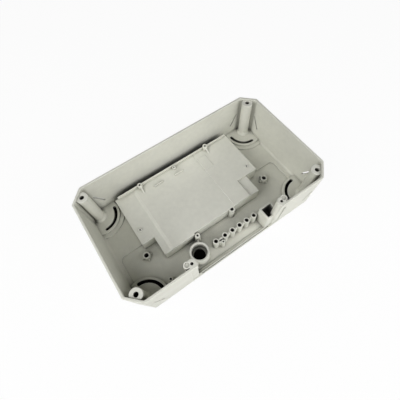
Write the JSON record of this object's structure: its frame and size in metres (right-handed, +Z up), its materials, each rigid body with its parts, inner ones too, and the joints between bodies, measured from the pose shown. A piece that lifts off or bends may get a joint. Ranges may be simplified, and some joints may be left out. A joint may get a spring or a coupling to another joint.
{
  "type": "die cast housing",
  "caption": "Open die cast equipment housing with clipped corners, cover pillars, a raised table, a round collar, a row of small tubes and an opening in one long wall.",
  "frame": {"origin": "middle of the footprint on the underside", "axes": "+X along the long side, +Y towards the full rear wall, +Z up out of the open top; the front opening is at -Y"},
  "size_m": [0.24, 0.138, 0.059],
  "materials": {
    "casting": "as-cast, shot-blasted matte"
  },
  "bodies": {
    "root": {"housing": "casting"}
  },
  "joints": []
}
